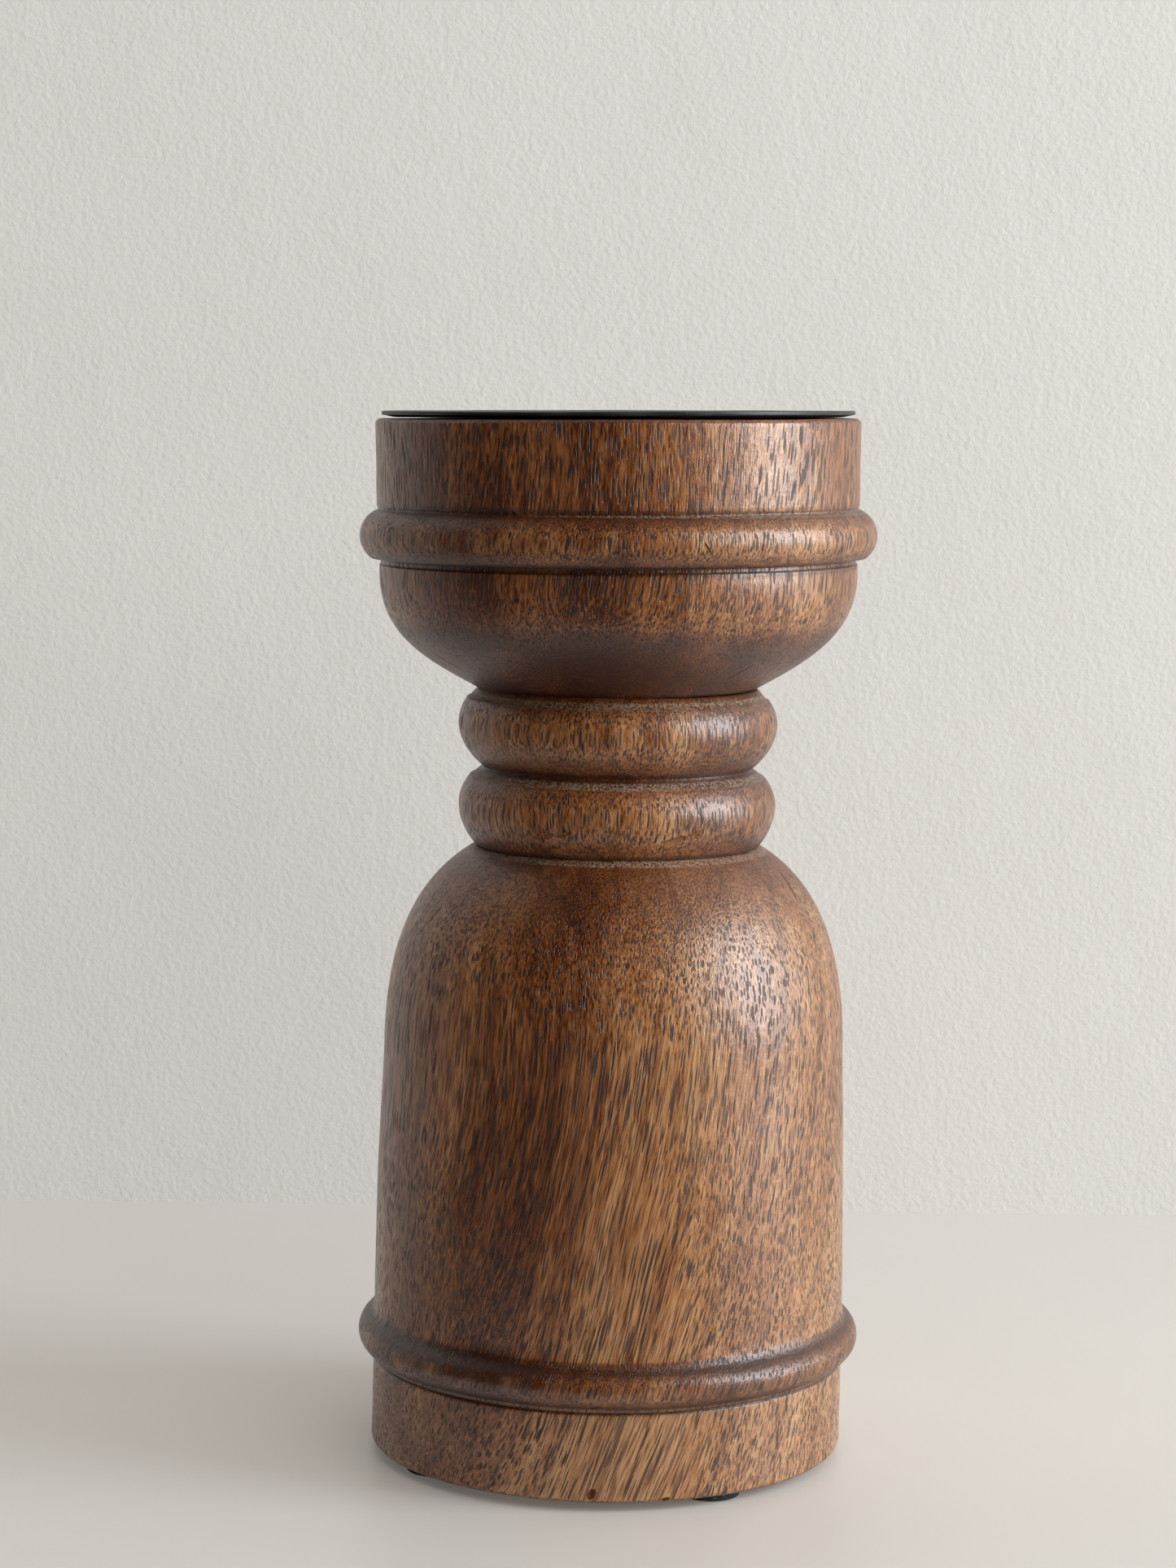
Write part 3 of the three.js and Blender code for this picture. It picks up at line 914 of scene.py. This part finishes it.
class CANDLESTICK_OT_pads(bpy.types.Operator):
    """Make the foam pads under the base"""

    bl_idname = "candlestick.pads"
    bl_label = "Foot Pads"

    def execute(self, context):
        material = foam_rubber("pad_foam", context.scene.candlestick_finish)
        radius = (pad_high.x - pad_low.x) / 2
        top = pad_high.z
        edge = radius - 0.3 * MM
        outline = Outline(0, 0)
        outline.corner(radius * 0.5, 0)
        outline.corner(edge, 0)
        outline.sweep((radius - 0.1 * MM, 0), (radius, 0.2 * MM), (radius, top / 2))
        outline.sweep((radius, top - 0.2 * MM), (radius - 0.15 * MM, top - 0.1 * MM), (edge, top))
        outline.corner(radius * 0.5, top)
        outline.corner(0, top)
        first = spin("pad_1", outline.points, steps=48)
        apply_modifier(first, "SUBSURF", levels=1, render_levels=1)
        shade(first, material)
        pads = [first]
        for number in range(2, 5):
            choose(first)
            bpy.ops.object.duplicate(linked=False)
            pad = bpy.context.object
            pad.name = f"pad_{number}"
            pad.data.name = pad.name
            pads.append(pad)
        for number, pad in enumerate(pads, start=1):
            low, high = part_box(f"foot_pad_{number}")
            choose(pad)
            bpy.ops.object.mode_set(mode="EDIT")
            bpy.ops.mesh.select_all(action="SELECT")
            middle = (low + high) / 2
            bpy.ops.transform.translate(value=(middle.x, middle.y, 0))
            bpy.ops.object.mode_set(mode="OBJECT")
            settle(pad, "pad_foam", f"foot_pad_{number}")
        return {"FINISHED"}


class CANDLESTICK_OT_stage(bpy.types.Operator):
    """Lay the table, stand the wall behind it, and set the camera and the light"""

    bl_idname = "candlestick.stage"
    bl_label = "Stage"

    def execute(self, context):
        stage = context.scene.candlestick_stage
        half = stage.sheet_size / 2
        full_size = Matrix.Diagonal((stage.sheet_size, stage.sheet_size, 1, 1))
        upright = Matrix.Rotation(math.radians(90), 4, "X")
        table = Matrix.Translation((0, stage.wall_distance - half, 0)) @ full_size
        wall = Matrix.Translation((0, stage.wall_distance, half)) @ upright @ full_size
        self.sheet("table", table, stage.table, roughness=0.42, glow=stage.table_glow, relief=0.004)
        self.sheet("wall", wall, stage.wall, roughness=0.9, glow=stage.wall_glow, relief=0.25)
        self.soft_light("window", stage.window_power, WINDOW_COLOUR, (1.1, 1.6),
                        azimuth=77, elevation=17, distance=2.3)
        bounce = self.soft_light("bounce", stage.bounce_power, BOUNCE_COLOUR, (2.0, 2.0),
                                 azimuth=34, elevation=36, distance=2.2)
        bounce.visible_glossy = False  # it lights without a highlight of its own
        self.camera()
        self.room(stage)
        context.scene.view_settings.view_transform = "Standard"
        return {"FINISHED"}

    @staticmethod
    def sheet(name, placing, shade_colour, roughness, glow, relief):
        """A large flat sheet, clear from behind so that it never hides the object.

        Reflected in the object, it is painted dark in front, as painted shade standing in for a dim room.
        """
        bpy.ops.object.select_all(action="DESELECT")
        bpy.ops.mesh.primitive_plane_add(size=1.0, location=(0, 0, 0))
        piece = bpy.context.object
        piece.name = name
        piece.data.transform(placing)
        recipe = Recipe(name + "_paint")
        place = recipe.place()
        texture = recipe.noise(place, (60, 60, 60), detail=4.0)
        grit = recipe.noise(place, (1.5, 1.5, 1.5), detail=3.0)
        tint = recipe.mix(tuple(c * 0.96 for c in shade_colour), tuple(shade_colour), texture)
        across, deep, _ = recipe.parts(place)
        # Painted shade: in reflections the sheet's colour is darkened in front of the object and to its
        # left.
        reflected = recipe.value(recipe.node("ShaderNodeLightPath"), "Is Glossy Ray")
        shadowy = deep.rise(-60, -260).above(across.rise(-60, -260) * deep.rise(60, -20))
        tint = recipe.mix(tint, (0.0, 0.0, 0.0), reflected * shadowy * REFLECTED_SHADOW)
        # The emission is painted light: the sheet shines with its own colour, standing in for light the room
        # gives back.
        paint = recipe.value(recipe.node("ShaderNodeBsdfPrincipled", inputs={
            "Base Color": tint, "Roughness": roughness, "Emission Color": tint,
            "Emission Strength": glow,
            "Normal": recipe.bump(grit * relief + texture * relief * 4),
        }))
        clear = recipe.value(recipe.node("ShaderNodeBsdfTransparent"))
        behind = recipe.value(recipe.node("ShaderNodeNewGeometry"), "Backfacing")
        surface = recipe.value(recipe.node("ShaderNodeMixShader",
                                           inputs={0: behind, 1: paint, 2: clear}))
        recipe.node("ShaderNodeOutputMaterial", inputs={"Surface": surface})
        piece.data.materials.append(recipe.material)

    @staticmethod
    def soft_light(name, watts, tint, size, azimuth, elevation, distance):
        """A large light aimed at the object. Its azimuth is to the right of the front."""
        data = bpy.data.lights.new(name, "AREA")
        data.shape = "RECTANGLE"
        data.size, data.size_y = size
        data.energy = watts
        data.color = tint
        lamp = bpy.data.objects.new(name, data)
        bpy.context.collection.objects.link(lamp)
        elevation = math.radians(elevation)
        away = surface_place(math.cos(elevation), azimuth, math.sin(elevation))
        lamp.location = Vector((0, 0, LIGHT_TARGET)) + away * distance
        lamp.rotation_mode = "QUATERNION"
        lamp.rotation_quaternion = (-away).to_track_quat("-Z", "Y")
        return lamp

    @staticmethod
    def camera():
        data = bpy.data.cameras.new("camera")
        data.sensor_width = CAMERA_SENSOR
        data.lens = CAMERA_LENS
        camera = bpy.data.objects.new("camera", data)
        bpy.context.collection.objects.link(camera)
        camera.matrix_world = (Matrix.Translation((0, -CAMERA_DISTANCE, CAMERA_HEIGHT))
                               @ Matrix.Rotation(math.radians(CAMERA_YAW), 4, "Z")
                               @ Matrix.Rotation(math.radians(90 - CAMERA_PITCH), 4, "X")
                               @ Matrix.Rotation(math.radians(CAMERA_ROLL), 4, "Z"))
        bpy.context.scene.camera = camera

    @staticmethod
    def room(stage):
        """A dim room all round, dimmer in reflections, and pale where it is seen past the sheets."""
        world = bpy.data.worlds.new("room")
        bpy.context.scene.world = world
        world.use_nodes = True
        tree = world.node_tree
        tree.nodes.clear()
        seen = tree.nodes.new("ShaderNodeLightPath")
        surface = None
        for ray, brightness in ((None, stage.fill), ("Is Glossy Ray", stage.fill * REFLECTED_ROOM),
                                ("Is Camera Ray", stage.backdrop)):
            background = tree.nodes.new("ShaderNodeBackground")
            background.inputs["Color"].default_value = (*ROOM_COLOUR, 1.0)
            background.inputs["Strength"].default_value = brightness
            if ray is None:
                surface = background.outputs[0]
                continue
            either = tree.nodes.new("ShaderNodeMixShader")
            tree.links.new(seen.outputs[ray], either.inputs[0])
            tree.links.new(surface, either.inputs[1])
            tree.links.new(background.outputs[0], either.inputs[2])
            surface = either.outputs[0]
        output = tree.nodes.new("ShaderNodeOutputWorld")
        tree.links.new(surface, output.inputs["Surface"])


class CANDLESTICK_PT_panel(bpy.types.Panel):
    """Sidebar panel that lists the pieces and their settings"""

    bl_idname = "CANDLESTICK_PT_panel"
    bl_label = "Candlestick"
    bl_space_type = "VIEW_3D"
    bl_region_type = "UI"
    bl_category = "Candlestick"

    def draw(self, context):
        for operator in OPERATORS:
            self.layout.operator(operator.bl_idname)
        for group in SETTINGS:
            settings = getattr(context.scene, group)
            column = self.layout.column()
            for name in settings.bl_rna.properties.keys():
                if name not in ("rna_type", "name"):
                    column.prop(settings, name)


OPERATORS = (
    CANDLESTICK_OT_stage,
    CANDLESTICK_OT_base,
    CANDLESTICK_OT_neck,
    CANDLESTICK_OT_cup,
    CANDLESTICK_OT_plate,
    CANDLESTICK_OT_fixings,
    CANDLESTICK_OT_pads,
)
SETTINGS = {
    "candlestick_shape": CandlestickShape,
    "candlestick_finish": CandlestickFinish,
    "candlestick_stage": CandlestickStage,
}


def register():
    for name, group in SETTINGS.items():
        bpy.utils.register_class(group)
        setattr(bpy.types.Scene, name, PointerProperty(type=group))
    for operator in OPERATORS:
        bpy.utils.register_class(operator)
    bpy.utils.register_class(CANDLESTICK_PT_panel)


def unregister():
    bpy.utils.unregister_class(CANDLESTICK_PT_panel)
    for operator in reversed(OPERATORS):
        bpy.utils.unregister_class(operator)
    for name, group in SETTINGS.items():
        delattr(bpy.types.Scene, name)
        bpy.utils.unregister_class(group)


def main():
    register()
    for operator in OPERATORS:
        group, name = operator.bl_idname.split(".")
        getattr(getattr(bpy.ops, group), name)()


if __name__ == "__main__":
    main()
